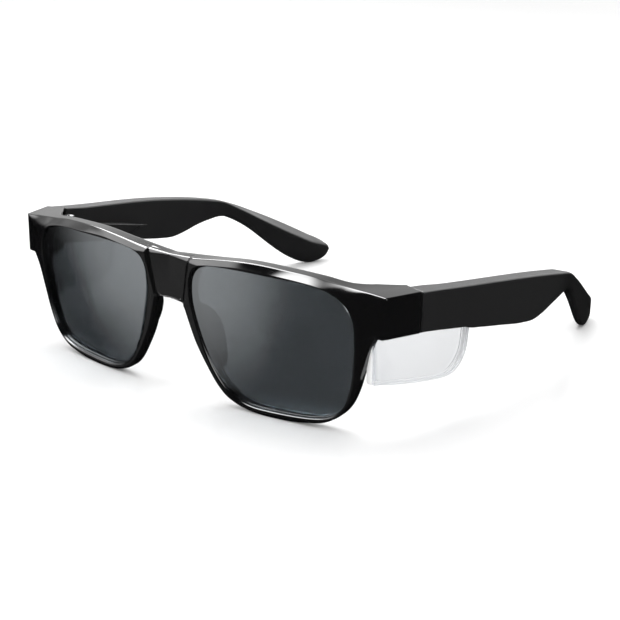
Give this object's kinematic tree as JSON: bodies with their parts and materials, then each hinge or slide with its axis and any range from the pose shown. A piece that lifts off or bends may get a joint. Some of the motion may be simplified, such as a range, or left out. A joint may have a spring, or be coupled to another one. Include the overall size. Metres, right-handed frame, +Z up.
{
  "type": "safety glasses",
  "caption": "Wrap-around safety glasses with smoke lenses in a gloss black front, folding satin black temples and clear side shields under the temples.",
  "frame": {"origin": "on the table under the centre of the open glasses: x = 0 is the mid-plane, y = 0 is halfway between the front and the temple tips, z = 0 is the table that the rims and temple tips rest on", "axes": "+Z up, the wearer looks along -Y, +X is the wearer's left"},
  "size_m": [0.1604, 0.1665, 0.0476],
  "materials": {
    "front_black": "polished injection-moulded nylon",
    "temple_black": "satin injection-moulded nylon",
    "lens_smoke": "smoke-tinted polycarbonate with a hard coat",
    "shield_clear": "clear polycarbonate",
    "hinge_steel": "stamped stainless steel",
    "screw_steel": "plated steel screw"
  },
  "bodies": {
    "front": {"front_frame": "front_black", "lens_left": "lens_smoke", "lens_right": "lens_smoke", "hinge_front_leaf_left": "hinge_steel", "hinge_front_leaf_right": "hinge_steel", "hinge_screw_left": "screw_steel", "hinge_screw_right": "screw_steel"},
    "temple_arm_left": {"temple_left": "temple_black", "side_shield_left": "shield_clear", "hinge_temple_leaf_left": "hinge_steel", "shield_screws_left": "screw_steel"},
    "temple_arm_right": {"temple_right": "temple_black", "side_shield_right": "shield_clear", "hinge_temple_leaf_right": "hinge_steel", "shield_screws_right": "screw_steel"}
  },
  "joints": [
    {"name": "fold_left", "type": "hinge", "parent": "front", "child": "temple_arm_left", "pos_m": [0.0678, -0.05843, 0.037], "axis": [0, 0, 1], "range_deg": [0, 88]},
    {"name": "fold_right", "type": "hinge", "parent": "front", "child": "temple_arm_right", "pos_m": [-0.0678, -0.05843, 0.037], "axis": [0, 0, -1], "range_deg": [0, 72]}
  ]
}
